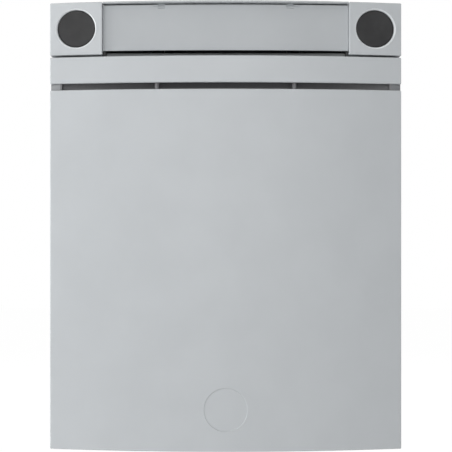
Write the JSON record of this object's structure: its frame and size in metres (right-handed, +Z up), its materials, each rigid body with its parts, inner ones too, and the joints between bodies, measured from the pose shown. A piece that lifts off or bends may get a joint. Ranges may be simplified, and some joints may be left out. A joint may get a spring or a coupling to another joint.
{
  "type": "wall battery unit",
  "caption": "Wall-hung battery unit with a bowed clip-on cover, vent slot, hinged service flap, plug-in corner connectors with round release buttons, and a wall rail.",
  "frame": {"origin": "middle of the wall rail's back face, on the wall plane", "axes": "+Z up, +Y into the wall, +X to the right as the user faces the unit"},
  "size_m": [0.39, 0.188, 0.4945],
  "materials": {
    "case_paint": "fine satin powder coat",
    "front_plastic": "fine satin moulded",
    "dark_plastic": "fine matt moulded",
    "button_plastic": "satin moulded",
    "rubber": "matt",
    "galvanised": "zinc coated",
    "spring_steel": "bright drawn",
    "brass": "turned",
    "module_wrap": "film wrap",
    "board_green": "solder mask",
    "cable_red": "extruded",
    "cable_black": "extruded"
  },
  "bodies": {
    "root": {"battery_board": "board_green", "cell_module_1": "module_wrap", "cell_module_2": "module_wrap", "cell_module_3": "module_wrap", "cell_module_4": "module_wrap", "cell_module_5": "module_wrap", "cell_module_6": "module_wrap", "cell_module_7": "module_wrap", "cell_module_8": "module_wrap", "cell_tray": "dark_plastic", "cover_gasket": "rubber", "electronics_tray": "galvanised", "flap_rest": "front_plastic", "hanger_rail": "galvanised", "left_data_socket": "dark_plastic", "left_end_plate": "galvanised", "left_hinge_bracket": "dark_plastic", "left_hinge_pin": "spring_steel", "left_lower_cover_clip": "spring_steel", "left_socket_insert": "dark_plastic", "left_upper_cover_clip": "spring_steel", "left_wall_pad": "rubber", "lower_contact_plate": "dark_plastic", "lower_strap": "galvanised", "main_contactor": "dark_plastic", "main_fuse": "cable_red", "negative_cable": "cable_black", "positive_cable": "cable_red", "rear_housing": "case_paint", "right_data_socket": "dark_plastic", "right_end_plate": "galvanised", "right_hinge_bracket": "dark_plastic", "right_hinge_pin": "spring_steel", "right_lower_cover_clip": "spring_steel", "right_socket_insert": "dark_plastic", "right_upper_cover_clip": "spring_steel", "right_wall_pad": "rubber", "row_spacer": "rubber", "terminal_block": "dark_plastic", "top_cover": "case_paint", "upper_contact_plate": "dark_plastic", "upper_deck": "dark_plastic", "upper_fascia": "front_plastic", "upper_strap": "galvanised", "vent_panel": "dark_plastic", "wall_rail": "galvanised"},
    "service_flap": {"service_flap": "front_plastic"},
    "front_cover": {"front_cover": "front_plastic"},
    "left_connector": {"left_connector_shell": "front_plastic", "left_connector_core": "dark_plastic", "left_contact_pin_1": "brass", "left_contact_pin_2": "brass", "left_button_spring": "spring_steel"},
    "left_button": {"left_release_button": "button_plastic"},
    "right_connector": {"right_connector_shell": "front_plastic", "right_connector_core": "dark_plastic", "right_contact_pin_1": "brass", "right_contact_pin_2": "brass", "right_button_spring": "spring_steel"},
    "right_button": {"right_release_button": "button_plastic"}
  },
  "joints": [
    {"name": "flap_hinge", "type": "hinge", "parent": "root", "child": "service_flap", "pos_m": [0, -0.17686, 0.0913], "axis": [-1, 0, 0], "range_deg": [0, 85]},
    {"name": "front_cover_pull", "type": "slide", "parent": "root", "child": "front_cover", "axis": [0, -1, 0], "range_m": [0, 0.12]},
    {"name": "left_connector_pull", "type": "slide", "parent": "root", "child": "left_connector", "axis": [0, -1, 0], "range_m": [0, 0.045]},
    {"name": "left_button_press", "type": "slide", "parent": "left_connector", "child": "left_button", "axis": [0.1553, 0.9879, 0], "range_m": [0, 0.004], "stiffness_N_per_m": 800, "springref_m": -0.002, "deforming": ["left_button_spring"]},
    {"name": "right_connector_pull", "type": "slide", "parent": "root", "child": "right_connector", "axis": [0, -1, 0], "range_m": [0, 0.045]},
    {"name": "right_button_press", "type": "slide", "parent": "right_connector", "child": "right_button", "axis": [-0.1553, 0.9879, 0], "range_m": [0, 0.004], "stiffness_N_per_m": 800, "springref_m": -0.002, "deforming": ["right_button_spring"]}
  ]
}
